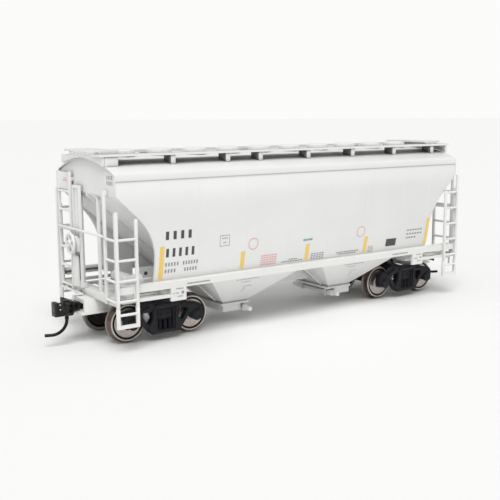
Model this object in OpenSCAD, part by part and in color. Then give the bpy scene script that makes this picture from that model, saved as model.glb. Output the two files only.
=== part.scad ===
// Model covered hopper car with two bays, swivelling trucks and knuckle couplers.
// X runs along the car, the brake wheel end is at -X, and Z = 0 is where the flanges stand.

/* [Wheels and track] */
// Tread diameter of a wheel
wheel_d = 10.5; // [10:0.1:11]
// Depth of the flange below the tread
flange_depth = 0.6; // [0.4:0.05:0.7]
// Width of a wheel over tread and flange
wheel_w = 2.8; // [2.4:0.1:3]
// Distance between the backs of the two wheels on an axle
back_to_back = 14.4; // [14:0.1:14.8]
// Length of an axle over its points
axle_len = 25; // [24.6:0.1:25.2]
// Distance between the axles of a truck
wheelbase = 20.4; // [19:0.1:21]
// Distance between the two king pins
truck_centers = 95.6; // [92:0.1:97]

/* [Body] */
// Length over the end sheets
body_len = 129.2; // [127:0.1:131]
// Width over the backs of the side sills
body_w = 37.3; // [36:0.1:38]
// Radius of the bowed side sheets
side_r = 83; // [75:1:120]
// Height above the rail where the body is widest
side_mid_z = 37.4; // [35:0.1:39]
// Height of the roof edge above the rail
eave_z = 47; // [45:0.1:48]
// Rise of the arched roof above its edge
roof_rise = 3.8; // [3:0.1:4.5]
// Thickness of the body walls
wall = 0.9; // [0.6:0.1:1.2]
// Height of the lower edge of the end sheets above the rail
slope_top_z = 41.2; // [40:0.1:42]
// Height of the outlets above the rail
outlet_z = 6.3; // [6:0.1:7]
// Distance from the middle of the car to the near edge of an outlet
outlet_in = 16.3; // [15:0.1:18]
// Distance from the middle of the car to the far edge of an outlet
outlet_out = 25.5; // [24.5:0.1:26.5]
// Width of an outlet across the car
outlet_w = 16.6; // [15:0.1:17.5]
// Height of the ridge between the bays above the rail
ridge_z = 19.5; // [18:0.1:21]
// Bottom of the side sill above the rail
sill_bottom = 15.4; // [15:0.1:16]
// Top of the side sill above the rail
sill_top = 18.4; // [18:0.1:19]

/* [Ladders and walkways] */
// Spacing of the ladder rungs
rung_pitch = 5.45; // [5:0.05:5.8]
// Thickness of a ladder stile
stile = 0.8; // [0.7:0.05:1.1]
// Diameter of a rung
rung_d = 0.75; // [0.6:0.05:0.9]
// Distance from the middle of the car to the outer edge of a running board
walk_edge = 13.8; // [13:0.1:14.5]
// Width of a running board
walk_w = 5.6; // [5:0.1:6]
// Underside of the running boards above the rail
walk_z = 51.4; // [51.2:0.1:52]
// Number of round hatches along the roof
hatch_count = 10; // [6:1:11]

/* [Couplers] */
// Height of the coupler shank above the rail
coupler_z = 9.9; // [9.8:0.05:10.1]
// Distance from the middle of the car to the coupler pivot
pivot_x = 62.6; // [62:0.1:63]
// Reach of the coupler from its pivot to the knuckle face
coupler_reach = 13.8; // [13.4:0.1:14.4]

/* [Hidden] */

$fn = 32;
eps = 0.01;

body_grey = [0.86, 0.86, 0.84];
truck_black = [0.12, 0.12, 0.13];
wheel_metal = [0.66, 0.61, 0.59];
steel_grey = [0.6, 0.6, 0.6];

half_len = body_len / 2;
half_w = body_w / 2;
wide = half_w + 0.2;
side_out = half_w + 0.15;
top_z = eave_z + roof_rise + 2;
roof_t = 0.5;
roof_r = (half_w * half_w + roof_rise * roof_rise) / (2 * roof_rise);
roof_axis_z = eave_z + roof_rise - roof_r;
slope_a = atan((slope_top_z - outlet_z) / (half_len - outlet_out));
ridge_a = atan((ridge_z - outlet_z) / outlet_in);
side_a = atan((sill_bottom - outlet_z) / (half_w - outlet_w / 2));
axle_z = wheel_d / 2;
kingpin_x = truck_centers / 2;
end_face = half_len + 0.6;
bar_z = 13.4;

// Lifts a shape whose heights are measured above the rail on to its flanges
module on_rail() {
  translate([0, 0, flange_depth]) children();
}

// Puts a shape made for the +X end on the end given by the sign s, mirrored
module at_end(s) {
  mirror([s < 0 ? 1 : 0, 0, 0]) children();
}

// Puts a shape made for the +X end on the end given by the sign s, turned half round
module turned_end(s) {
  rotate([0, 0, s < 0 ? 180 : 0]) children();
}

// Box given by its low and high corners
module block(low, high) {
  translate(low) cube(high - low);
}

// Round bar between two points that lie along one of the axes
module bar_x(x0, x1, y, z, d) {
  translate([x0, y, z]) rotate([0, 90, 0]) cylinder(h = x1 - x0, d = d, $fn = 16);
}

module bar_y(x, y0, y1, z, d) {
  translate([x, y1, z]) rotate([90, 0, 0]) cylinder(h = y1 - y0, d = d, $fn = 16);
}

module bar_z(x, y, z0, z1, d) {
  translate([x, y, z0]) cylinder(h = z1 - z0, d = d, $fn = 16);
}

// Outline in XZ, extruded along Y
module along_y(y0, y1, points) {
  translate([0, y1, 0]) rotate([90, 0, 0]) linear_extrude(y1 - y0) polygon(points);
}

// Outline in YZ, extruded along X
module along_x(x0, x1, points) {
  translate([x0, 0, 0]) rotate([90, 0, 90]) linear_extrude(x1 - x0) polygon(points);
}

function arc(cx, cz, r, a0, a1, n) = [
  for (i = [0:n]) [cx + r * cos(a0 + (a1 - a0) * i / n), cz + r * sin(a0 + (a1 - a0) * i / n)]
];

// ---------- Body ----------

// Half outline of the container in XZ, drawn with its walls moved inwards by t
function hopper_half(t) =
  let (
    s = t / sin(slope_a),
    r = t / sin(ridge_a),
    drop = t > 0 ? 1 : 0,
    end_x = half_len - t
  ) [
    [0, ridge_z + r * tan(ridge_a)],
    [outlet_in + r, outlet_z],
    [outlet_in + r, outlet_z - drop],
    [outlet_out - s, outlet_z - drop],
    [outlet_out - s, outlet_z],
    [end_x, outlet_z + (end_x - outlet_out + s) * tan(slope_a)],
    [end_x, top_z]
  ];

// Half outline of the container in YZ, drawn with its walls moved inwards by t
function side_half(t) =
  let (
    s = t / sin(side_a),
    drop = t > 0 ? 1 : 0,
    w = wide - t,
    bottom = outlet_w / 2 - s
  ) [
    [0, outlet_z - drop],
    [bottom, outlet_z - drop],
    [bottom, outlet_z],
    [w, outlet_z + (w - bottom) * tan(side_a)],
    [w, top_z],
    [0, top_z]
  ];

module hopper_solid(t) {
  intersection() {
    for (s = [-1, 1]) at_end(s) along_y(-wide, wide, concat(hopper_half(t), [[0, top_z]]));
    for (s = [-1, 1]) mirror([0, s < 0 ? 1 : 0, 0]) along_x(-half_len, half_len, side_half(t));
  }
}

// Space between the two bowed sides, with the sides moved inwards by t
module between_sides(t) {
  intersection_for (s = [-1, 1])
    translate([-half_len, s * (side_r - side_out), side_mid_z]) rotate([0, 90, 0])
      cylinder(h = body_len, r = side_r - t, $fn = 360);
}

// Half width over the bowed sides at the height z
function side_at(z) = side_out - side_r + sqrt(side_r * side_r - (z - side_mid_z) * (z - side_mid_z));

// Arched cut made in each end of the side sheets, below the slope sheet
cut_r = 17.4;
cut_x = half_len - 11.6;
cut_z = 22.5;

function side_sheet_half() = concat(
  [[0, sill_bottom], [cut_x, sill_bottom]],
  arc(cut_x + cut_r, cut_z, cut_r, 180, 135, 8),
  [[half_len, slope_top_z], [half_len, eave_z], [0, eave_z]]
);

module roof_drum(r, h) {
  translate([-h / 2, 0, roof_axis_z]) rotate([0, 90, 0]) cylinder(h = h, r = r, $fn = 96);
}

// Sides, ends and slope sheets, hollow, down to the side sills
module body_shell() on_rail() color(body_grey) {
  intersection() {
    difference() {
      union() {
        hopper_solid(0);
        difference() {
          for (s = [-1, 1]) at_end(s) along_y(-wide, wide, side_sheet_half());
          between_sides(wall);
        }
      }
      intersection() {
        hopper_solid(wall);
        between_sides(wall);
      }
    }
    between_sides(0);
    roof_drum(roof_r - roof_t, body_len);
    block([-half_len, -wide, sill_bottom], [half_len, wide, top_z]);
  }
  // Stiffener along the middle of each slope sheet
  for (s = [-1, 1]) at_end(s) slope_rib(-0.35, 0.35, 0.7, 37.5, half_len);
}

// Height of the underside of a slope sheet at a distance x from the middle
function slope_z(x) = outlet_z + (x - outlet_out) * tan(slope_a);

// Rib of depth d under the slope sheet, between two distances from the middle
module slope_rib(y0, y1, d, x0, x1) {
  z0 = slope_z(x0);
  z1 = slope_z(x1);
  drop = d / cos(slope_a);
  along_y(y0, y1, [[x0, z0 + wall / 2], [x0, z0 - drop], [x1, z1 - drop], [x1, z1 + wall / 2]]);
}

skirt_bottom = 45.2;
skirt_out = side_at(skirt_bottom) + 0.3;

// Arched roof sheet with a shallow skirt over the top of the side sheets
module roof() on_rail() color(body_grey) {
  roof_half_len = half_len + 0.4;
  intersection() {
    difference() {
      roof_drum(roof_r, 2 * roof_half_len);
      roof_drum(roof_r - roof_t, 2 * roof_half_len + 1);
    }
    block([-roof_half_len, -skirt_out, skirt_bottom], [roof_half_len, skirt_out, top_z]);
  }
  for (s = [-1, 1]) mirror([0, s < 0 ? 1 : 0, 0])
    block([-roof_half_len, side_at(skirt_bottom) + 0.02, skirt_bottom],
      [roof_half_len, skirt_out, eave_z - roof_t + 0.1]);
}

hatch_d = 7.4;
hatch_top = 52.8;
hatch_pitch = 114 / (hatch_count - 1 + 0.6);

// Round hatches with a coaming, a domed cover, a hinge and a latch
module loading_hatches() on_rail() color(body_grey)
  for (i = [0:hatch_count - 1])
    translate([(i - (hatch_count - 1) / 2) * hatch_pitch, 0, 0]) hatch();

module hatch() {
  seat = eave_z + roof_rise - 0.35;
  difference() {
    union() {
      bar_z_round(hatch_d - 1, seat, hatch_top - 1.1);
      bar_z_round(hatch_d, hatch_top - 1.1, hatch_top - 0.4);
      translate([0, 0, hatch_top - 0.4])
        cylinder(h = 0.4, d1 = hatch_d - 0.2, d2 = hatch_d - 1.8, $fn = 40);
      block([-0.7, hatch_d / 2 - 0.8, hatch_top - 1.5], [0.7, hatch_d / 2 + 0.6, hatch_top - 0.6]);
      block([-0.4, -hatch_d / 2 - 0.5, hatch_top - 1.5], [0.4, -hatch_d / 2 + 0.8, hatch_top - 0.6]);
    }
    roof_drum(roof_r, 2 * hatch_d);
  }
}

module bar_z_round(d, z0, z1) {
  translate([0, 0, z0]) cylinder(h = z1 - z0, d = d, $fn = 40);
}

// ---------- Walkways ----------

walk_t = 0.6;
walk_len = 133.2;
far_board_start = -61.5;
mesh_slots = 12;

// Flat board with long slots between its bars
module board(x0, x1, y0, y1, z) {
  pitch = (x1 - x0 - 1) / mesh_slots;
  difference() {
    block([x0, y0, z], [x1, y1, z + walk_t]);
    for (i = [0:mesh_slots - 1]) for (j = [0:3])
      block([x0 + 0.8 + i * pitch, y0 + 0.7 + j * 1.15, z - 1],
        [x0 + (i + 1) * pitch, y0 + 1.25 + j * 1.15, z + 1]);
  }
}

module running_board_near() on_rail() color(body_grey)
  board(-walk_len / 2, walk_len / 2, -walk_edge, walk_w - walk_edge, walk_z);

module running_board_far() on_rail() color(body_grey)
  board(far_board_start, walk_len / 2, walk_edge - walk_w, walk_edge, walk_z);

platform_w = 19;
platform_z = 52.4;
platform_in = 59;

// Raised platform across the end, standing on a wall that rises from the roof
module end_platform(s) at_end(s) {
  out = walk_len / 2;
  wall_x = half_len + 0.5;
  difference() {
    union() {
      block([platform_in, -platform_w / 2, platform_z], [out, platform_w / 2, platform_z + walk_t]);
      along_x(wall_x, wall_x + 0.8,
        riser_outline(walk_edge - 0.4, walk_edge - walk_w - 0.03, walk_z - 0.02, platform_z));
      for (y = [-platform_w / 2, platform_w / 2 - 0.8])
        block([platform_in + 0.4, y, walk_z + walk_t], [wall_x + eps, y + 0.8, platform_z + eps]);
    }
    for (i = [0:6]) for (j = [0:3])
      translate([platform_in + 0.9 + j * 1.75, -platform_w / 2 + 1.2 + i * 2.45, platform_z - 0.5])
        cube([1.3, 1.9, 1.6]);
  }
}

// Wall between the curved roof and the boards, higher in the middle
function riser_outline(wide, narrow, low, high) = concat(
  arc(0, roof_axis_z, roof_r + 0.02, 90 - asin(wide / roof_r), 90 + asin(wide / roof_r), 16),
  [[-wide, low], [-narrow, low], [-narrow, high], [narrow, high], [narrow, low], [wide, low]]
);

module end_platform_b() on_rail() color(body_grey) end_platform(-1);

module end_platform_a() on_rail() color(body_grey) end_platform(1);

post_w = 1.5;
near_posts = [-45.3, -27.2, -15.6, 2.6, 20.9, 39.4, 57.6];

// Posts that carry the running boards, and the solid bracket at the brake end
module walk_supports() on_rail() color(body_grey)
  for (side = [-1, 1]) rotate([0, 0, side > 0 ? 180 : 0]) {
    for (x = near_posts) walk_post(x, x + post_w);
    walk_post(-half_len - 0.48, -half_len + 3.4);
  }

module walk_post(x0, x1) {
  difference() {
    block([x0, -walk_edge + 0.3, eave_z], [x1, -walk_edge + 4.3, walk_z]);
    roof_drum(roof_r, 2 * body_len);
  }
}

// ---------- Sills and end frames ----------

sill_t = 0.8;
sill_lift = 0.25;
pad_in = 44.4;
pad_out = 49.2;
window_out = 59.2;
bar_low = 12.9;
bar_high = 13.8;

// Side sill: a channel outside the bowed side, with a lower bar, window and pad at each end
module side_sill() {
  y0 = -half_w - sill_lift;
  y1 = -half_w - 0.02;
  ledge_z = sill_top - 0.5;
  sill_end = half_len + 0.03;
  block([-sill_end, y0, sill_bottom], [sill_end, y1, sill_top]);
  block([-sill_end, y0 + eps, ledge_z], [sill_end, -side_at(sill_top) - 0.02, sill_top]);
  block([-cut_x, y0, sill_bottom - sill_t], [cut_x, y1, sill_bottom + eps]);
  for (s = [-1, 1]) at_end(s) {
    block([cut_x + 0.05, y0, sill_bottom - 0.02], [end_face - 1.2, y0 + 1.8, sill_bottom + 0.7]);
    block([pad_out - eps, y0, bar_low], [end_face - 1.2, y0 + 0.9, bar_high]);
    difference() {
      block([pad_in, y0 - 0.15, 11.8], [pad_out, y0 + 0.75, sill_bottom + 0.3]);
      translate([(pad_in + pad_out) / 2 + 1.2, y0 - 0.5, 13.6]) rotate([90, 0, 0])
        cylinder(h = 0.5, d = 1, center = true, $fn = 20);
    }
    block([window_out, y0, bar_high - eps], [window_out + 1.2, y0 + 0.9, sill_bottom + 0.1]);
  }
}

module side_sill_near() on_rail() color(body_grey) side_sill();

module side_sill_far() on_rail() color(body_grey) mirror([0, 1, 0]) side_sill();

post_t = 1.3;
corner_top = 36.9;
end_sill_high = 14.1;
tie_y = 12.6;
tie_high = 13.5;

// End sill, corner posts and the braces up to the slope sheet
module end_frame(s) at_end(s) {
  x0 = end_face - 1.4;
  low = end_sill_high - 2;
  for (side = [-1, 1]) mirror([0, side < 0 ? 1 : 0, 0]) {
    // Corner post and its outer lip
    block([half_len + 0.05, half_w - post_t, bar_low], [end_face, half_w + sill_lift, corner_top]);
    // Brace between the end sill and the slope sheet
    along_y(5.2, 6, [
      [x0 - 0.4, end_sill_high - 0.3], [x0 + 0.4, end_sill_high - 0.3],
      [x0 + 0.4, slope_z(x0 + 0.4) - 0.02], [x0 - 0.4, slope_z(x0 - 0.4) - 0.02]
    ]);
  }
  // End sill with its lower flange
  block([x0, -half_w + post_t + 0.05, low], [end_face - 0.1, half_w - post_t - 0.05, end_sill_high]);
  block([x0 - 2.4, -half_w + 2.4, end_sill_high - 0.6], [x0 + eps, half_w - 2.4, end_sill_high]);
  // Tie bars from the end sill inwards, under the brake gear
  for (y = [-tie_y, tie_y]) block([cut_x - 2, y - 0.6, low + 0.6], [x0 + eps, y + 0.6, tie_high]);
}

module end_frame_b() on_rail() color(body_grey) end_frame(-1);

module end_frame_a() on_rail() color(body_grey) end_frame(1);

sill_half_w = 3.2;
center_low = 12.1;
center_high = 13.9;
hood_low = 8.65;

// Centre sill with the two body bolsters and the hood between the bays
module center_sill() on_rail() color(body_grey) {
  for (s = [-1, 1]) at_end(s) center_sill_half();
  // Hood between the bays, with its lower edge curved up into each bay
  for (s = [-1, 1]) at_end(s)
    along_y(-sill_half_w, sill_half_w, [
      [-eps, hood_low],
      [outlet_in - (hood_low - outlet_z) / tan(ridge_a) - 0.05, hood_low],
      [outlet_in - (sill_bottom - outlet_z) / tan(ridge_a) - 0.05, sill_bottom],
      [-eps, sill_bottom]
    ]);
}

module center_sill_half() {
  meet_x = outlet_out + (center_high - outlet_z) / tan(slope_a) + 0.1;
  difference() {
    union() {
      block([meet_x, -sill_half_w, center_low], [end_face - 3.82, sill_half_w, center_high]);
      // Body bolster: a tapered beam with a round pad for the truck
      for (side = [-1, 1]) mirror([0, side < 0 ? 1 : 0, 0])
        along_x(kingpin_x - 1.8, kingpin_x + 1.8, [
          [-1, center_low], [half_w - 3, 13.1], [half_w - 3, 14.5], [-1, center_high]
        ]);
      bar_z_at(kingpin_x, 5.4, truck_top + 0.1, center_low + eps);
      // Upright webs that carry the slope sheet above the bolster
      for (y = [-7.5, 6.7])
        along_y(y, y + 0.8, web_outline());
    }
    bar_z_at(kingpin_x, 1.6, truck_top - 1, center_high + 1);
  }
}

function web_outline() = [
  for (p = [[kingpin_x - 3, 0], [kingpin_x + 3, 0], [kingpin_x + 3, 1], [kingpin_x - 3, 1]])
    [p[0], p[1] == 0 ? center_high - 0.7 : slope_z(p[0]) - 0.02]
];

module bar_z_at(x, d, z0, z1) {
  translate([x, 0, z0]) cylinder(h = z1 - z0, d = d, $fn = 40);
}

// ---------- Hopper bays and outlet gates ----------

module hopper_bay(s) {
  intersection() {
    difference() {
      union() {
        hopper_solid(0);
        at_end(s) slope_rib(-5.4, -4.8, 0.5, outlet_out + 0.6, 35);
        at_end(s) slope_rib(4.8, 5.4, 0.5, outlet_out + 0.6, 35);
        at_end(s) ridge_rib(-5.4, -4.8, 0.5);
        at_end(s) ridge_rib(4.8, 5.4, 0.5);
      }
      hopper_solid(wall);
    }
    at_end(s) block([0, -half_w, outlet_z], [half_len, half_w, sill_bottom - 0.02]);
  }
  // Small crossed bars welded on the side slopes
  at_end(s) for (side = [-1, 1]) mirror([0, side > 0 ? 0 : 1, 0]) side_mark();
}

module ridge_rib(y0, y1, d) {
  x0 = outlet_in - 0.4;
  x1 = outlet_in - (sill_bottom - outlet_z) / tan(ridge_a) + 0.4;
  drop = d / cos(ridge_a);
  along_y(y0, y1, [
    [x0, outlet_z + 0.4 * tan(ridge_a) + wall / 2], [x0, outlet_z + 0.4 * tan(ridge_a) - drop],
    [x1, sill_bottom - 0.4 * tan(ridge_a) - drop], [x1, sill_bottom - 0.4 * tan(ridge_a) + wall / 2]
  ]);
}

module side_mark() {
  mid_x = (outlet_in + outlet_out) / 2;
  translate([mid_x, (half_w + outlet_w / 2) / 2, (sill_bottom + outlet_z) / 2]) rotate([side_a, 0, 0]) {
    translate([-1.4, 1.5, -0.3]) cube([2.8, 0.5, 0.45]);
    translate([0.2, -1.4, -0.3]) cube([0.5, 3.1, 0.45]);
  }
}

module hopper_bay_b() on_rail() color(body_grey) hopper_bay(-1);

module hopper_bay_a() on_rail() color(body_grey) hopper_bay(1);

gate_mid = (outlet_in + outlet_out) / 2;
gate_half = 5.1;
gate_half_w = 8.4;
gate_top = outlet_z - 0.02;
gate_low = 3.3;
shaft_z = 3.9;
shaft_x = outlet_in + 1.3;

// Gate frame with a neck, a flange, a box and the sliding door inside
module outlet_gate() {
  difference() {
    union() {
      block([gate_mid - 4.2, -outlet_w / 2 + 0.5, 5.9 - eps],
        [gate_mid + 4.2, outlet_w / 2 - 0.5, gate_top]);
      block([gate_mid - gate_half, -gate_half_w, 5.2], [gate_mid + gate_half, gate_half_w, 5.9]);
      block([outlet_out - 6.6, -outlet_w / 2, gate_low], [outlet_out - 0.1, outlet_w / 2, 5.2 + eps]);
      for (y = [-6.6, 5.8]) block([shaft_x - 1.1, y, 2.9], [shaft_x + 1.1, y + 0.8, 5.2 + eps]);
    }
    block([gate_mid - 3.4, -outlet_w / 2 + 1.4, 4.9], [gate_mid + 3.4, outlet_w / 2 - 1.4, gate_top + 1]);
    bar_y(shaft_x, -gate_half_w, gate_half_w, shaft_z, 1.3);
  }
}

module outlet_gate_b() on_rail() color(body_grey) turned_end(-1) outlet_gate();

module outlet_gate_a() on_rail() color(body_grey) turned_end(1) outlet_gate();

// Shafts that open the gates, with a round capstan at each end
module gate_shafts() on_rail() color(body_grey)
  for (s = [-1, 1]) turned_end(s) {
    bar_y(shaft_x, -11.6, 11.6, shaft_z, 1.3 - eps);
    for (side = [-1, 1]) mirror([0, side < 0 ? 1 : 0, 0]) bar_y(shaft_x, 6.7, 9.2, shaft_z, 2);
  }

weight_t = 2.4;
weight_z = 22.6;

// Steel ballast plate that lies on the ridge and the slope sheets
module steel_weight() on_rail() color(steel_grey) {
  reach = outlet_out + (weight_z - outlet_z) / tan(slope_a) - wall / sin(slope_a) - 0.05;
  weight_y = side_at(weight_z) - wall - 0.3;
  block([-reach, -weight_y, weight_z], [reach, weight_y, weight_z + weight_t]);
}

// ---------- Ladders, steps and handrails ----------

ladder_in = 8.45;
ladder_out = 16.5;
short_in = 12.6;
ladder_t = 0.7;
ladder_x = end_face + 0.02;
rung_low = bar_z;

// Rungs across the end from the bottom bar up
module end_rungs(y0, y1, rungs)
  for (i = [0:rungs - 1])
    bar_y(ladder_x + ladder_t / 2, y0, y1, rung_low + 0.2 + i * rung_pitch, rung_d);

module end_stile(y, top) block([ladder_x, y, rung_low - 1], [ladder_x + ladder_t, y + stile, top]);

// Lug that ties a stile to the end sheet
module end_lug(y, z0, z1) block([half_len + 0.02, y, z0], [ladder_x + 0.1, y + stile, z1]);

side_ladder_in = 59.2;
side_ladder_out = 64.9;
ladder_y = half_w + sill_lift + 0.02;

// The tall ladder with its sign plate, and the short one whose rungs end at the corner
module end_ladders() on_rail() color(body_grey)
  for (s = [-1, 1]) turned_end(s) {
    mirror([0, 1, 0]) {
      end_stile(ladder_in, eave_z - 0.4);
      end_stile(ladder_out, eave_z - 0.4);
      end_rungs(ladder_in + stile - 0.3, ladder_out + 0.3, 6);
      block([ladder_x + 0.1, ladder_in + 0.2, 41.5], [ladder_x + 0.6, ladder_y - 1, eave_z - 0.7]);
      end_lug(ladder_in, eave_z - 3, eave_z - 2);
    }
    end_stile(short_in, 42.6);
    end_rungs(short_in + stile - 0.3, ladder_y - 0.02, 4);
    end_lug(short_in, 41.4, 42.6);
  }

// Ladder on the side: two stiles and n rungs, outside the side sill
module side_ladder(inner_top, outer_top, rungs) {
  block([side_ladder_in, ladder_y, bar_low - 1], [side_ladder_in + stile, ladder_y + ladder_t, inner_top]);
  block([side_ladder_out, ladder_y, bar_low - 1], [side_ladder_out + stile, ladder_y + ladder_t, outer_top]);
  for (i = [0:rungs - 1])
    bar_x(side_ladder_in + stile - 0.3, side_ladder_out + 0.3, ladder_y + ladder_t / 2,
      rung_low + 0.3 + i * rung_pitch, rung_d);
}

module side_ladders() on_rail() color(body_grey)
  for (s = [-1, 1]) turned_end(s) {
    mirror([0, 1, 0]) side_ladder(36.2, 41.4, 5);
    side_ladder(35.3, 37.4, 4);
  }

step_low = 6.8;

// Steps under the side ladders, with a tread and one rung
module stirrup_steps() on_rail() color(body_grey)
  for (s = [-1, 1]) at_end(s) for (side = [-1, 1]) mirror([0, side < 0 ? 1 : 0, 0]) {
    for (x = [side_ladder_in, side_ladder_out])
      block([x, ladder_y - 0.2, step_low - 0.4], [x + stile, ladder_y + ladder_t, bar_low - 1.02]);
    block([side_ladder_in + eps, ladder_y - 0.2, step_low - 0.4],
      [side_ladder_out + stile - eps, ladder_y + ladder_t, step_low + 0.5]);
    bar_x(side_ladder_in + stile - 0.3, side_ladder_out + 0.3, ladder_y + ladder_t / 2, 10.1, rung_d);
  }

rail_z = 30.6;
rail_d = 0.7;

// Horizontal handrail across the outer faces of the end ladders
module end_handrails() on_rail() color(body_grey)
  for (s = [-1, 1]) turned_end(s)
    bar_y(ladder_x + ladder_t + 0.02 + rail_d / 2, -ladder_out - stile, short_in + stile, rail_z, rail_d);

// ---------- Hand brake and air brake ----------

brake_y = 4.4;
brake_z = 26.8;
brake_x = -end_face - 2.8;
brake_wheel_d = 6.3;
stand_back = -end_face - 0.02;
stand_face = stand_back - 0.7;
stand_in = 2.1;
stand_out = 6.9;

// Upright channel on the brake end, with a lug at its top and a foot on the end sill
module brake_stand() on_rail() color(body_grey) {
  difference() {
    block([stand_face, stand_in, end_sill_high + 0.02], [stand_back, stand_out, 43]);
    block([stand_face - 1, stand_in + 0.8, 16], [stand_back - 0.25, stand_out - 0.8, 42.2]);
  }
  block([stand_back - eps, stand_in + 0.6, 41.4], [-half_len - 0.02, stand_out - 0.6, 42.6]);
  block([stand_back - eps, stand_in, end_sill_high + 0.02],
    [-half_len + 0.3, stand_out, end_sill_high + 1.4]);
}

// Gear case of the hand brake behind its wheel
module brake_housing() on_rail() color(body_grey) {
  face = stand_face - 0.02;
  translate([face, brake_y, brake_z - 0.3]) rotate([0, -90, 0]) cylinder(h = 1.1, d = 4.6, $fn = 40);
  block([face - 0.9, stand_in + 0.2, brake_z - 2.2], [face, stand_out - 0.2, brake_z + 1.4]);
  translate([face, brake_y, brake_z]) rotate([0, -90, 0]) cylinder(h = 2.5, d = 1, $fn = 24);
}

// Hand brake wheel with a dished rim, five spokes and a hub
module brake_wheel() on_rail() color(body_grey)
  translate([brake_x, brake_y, brake_z]) rotate([0, -90, 0]) {
    rotate_extrude($fn = 48) translate([brake_wheel_d / 2 - 0.45, 0]) circle(d = 0.85, $fn = 16);
    difference() {
      union() {
        translate([0, 0, -0.8]) cylinder(h = 1.5, d = 2, $fn = 24);
        for (i = [0:4]) rotate([0, 0, 72 * i + 18]) translate([0.5, -0.32, -0.3])
          cube([brake_wheel_d / 2 - 0.9, 0.64, 0.6]);
      }
      translate([0, 0, -1]) cylinder(h = 2.2, d = 1.06, $fn = 24);
    }
  }

// Rounded guard over the brake chain below the gear case
module brake_chain_guard() on_rail() color(body_grey) {
  face = stand_face - 0.02;
  y = brake_y + 0.3;
  block([face - 0.9, y - 1.3, end_sill_high + 0.3], [face, y + 1.3, 22.2]);
  translate([face, y, 22.2]) rotate([0, -90, 0]) cylinder(h = 0.9, r = 1.3, $fn = 32);
}

// Air reservoir across the brake end, hung under the slope sheet
module air_reservoir() on_rail() color(body_grey) {
  x = -57.2;
  bar_y_round(x, -9.6, -1, 20.6, 4.2);
  for (y = [-10, -1]) bar_y_round(x, y, y + 0.4, 20.6, 3.4);
  for (y = [-8, -3]) block([x - 1, y, center_high + 0.02], [x + 1, y + 0.7, 19]);
  block([x - 1, -8, center_high + 0.02], [x + 1, -sill_half_w + eps, center_high + 0.8]);
}

module bar_y_round(x, y0, y1, z, d) {
  translate([x, y1, z]) rotate([90, 0, 0]) cylinder(h = y1 - y0, d = d, $fn = 40);
}

// Brake cylinder, its push rod and the control valve beside it
module brake_cylinder() on_rail() color(body_grey) {
  z = 17.6;
  y = -tie_y;
  translate([-60.6, y, z]) rotate([0, 90, 0]) cylinder(h = 5.4, d = 3.4, $fn = 32);
  translate([-61, y, z]) rotate([0, 90, 0]) cylinder(h = 0.8, d = 4, $fn = 32);
  bar_x(-55.3, -51.5, y, z, 0.7);
  block([-60, y - 0.8, tie_high + 0.02], [-56.6, y + 0.8, z]);
  block([-61.3, y - 0.8, tie_high + 0.02], [-59.9, y + 0.8, tie_high + 0.8]);
}

lever_z = 12.5;

// Levers that lift the coupler pins, bent from wire
module uncoupling_levers() on_rail() color(body_grey)
  for (s = [-1, 1]) turned_end(s) {
    x = end_face + 1.1;
    bar_y(x, -16.1, -1.4, lever_z, 0.7);
    bar_z(x, -15.8, 9, lever_z + 0.1, 0.7);
    bar_x(x - 0.3, x + 2.2, -1.7, lever_z, 0.6);
    for (y = [-13.2, -5.2]) block([end_face - 0.08, y, lever_z - 0.37], [x + 0.5, y + 0.7, lever_z + 0.55]);
  }

// ---------- Couplers ----------

box_half_w = 4.1;
box_low = 7.8;
box_high = 12.08;
box_in = 58.6;
box_out = 68.2;
cavity_low = 8.9;
cavity_high = 10.9;

// Closed box that holds the coupler shank, open at its mouth, with a lip along its lid
module draft_box() {
  difference() {
    union() {
      block([box_in, -box_half_w, box_low], [box_out, box_half_w, box_high]);
      block([box_in, -box_half_w - 0.25, box_low], [box_out + 0.9, box_half_w + 0.25, box_low + 0.7]);
    }
    block([box_in + 1, -box_half_w + 0.8, cavity_low], [box_out + 1, box_half_w - 0.8, cavity_high]);
    bar_z_at(pivot_x, 1.5, box_low - 1, box_low + 0.9);
  }
  bar_z_at(pivot_x, 2.2, box_low + 0.9, box_high - 0.8);
}

module draft_box_b() on_rail() color(body_grey) turned_end(-1) draft_box();

module draft_box_a() on_rail() color(body_grey) turned_end(1) draft_box();

// Screws under the draft boxes
module draft_box_screws() on_rail() color(steel_grey)
  for (s = [-1, 1]) turned_end(s) {
    bar_z_at(pivot_x, 1.48, box_low - 0.02, box_low + 0.88);
    difference() {
      bar_z_at(pivot_x, 2.8, box_low - 0.7, box_low - 0.02);
      block([pivot_x - 1, -0.2, box_low - 1], [pivot_x + 1, 0.2, box_low - 0.4]);
    }
  }

shank_low = 9.15;
shank_high = 10.65;
head_low = 8.2;
head_high = 12;
ear_t = 0.8;
knuckle_x = pivot_x + coupler_reach - 3.6;
knuckle_y = 2.5;
pin_d = 1.1;
face_x = knuckle_x + 3.6;
face_t = 1.3;

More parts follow.
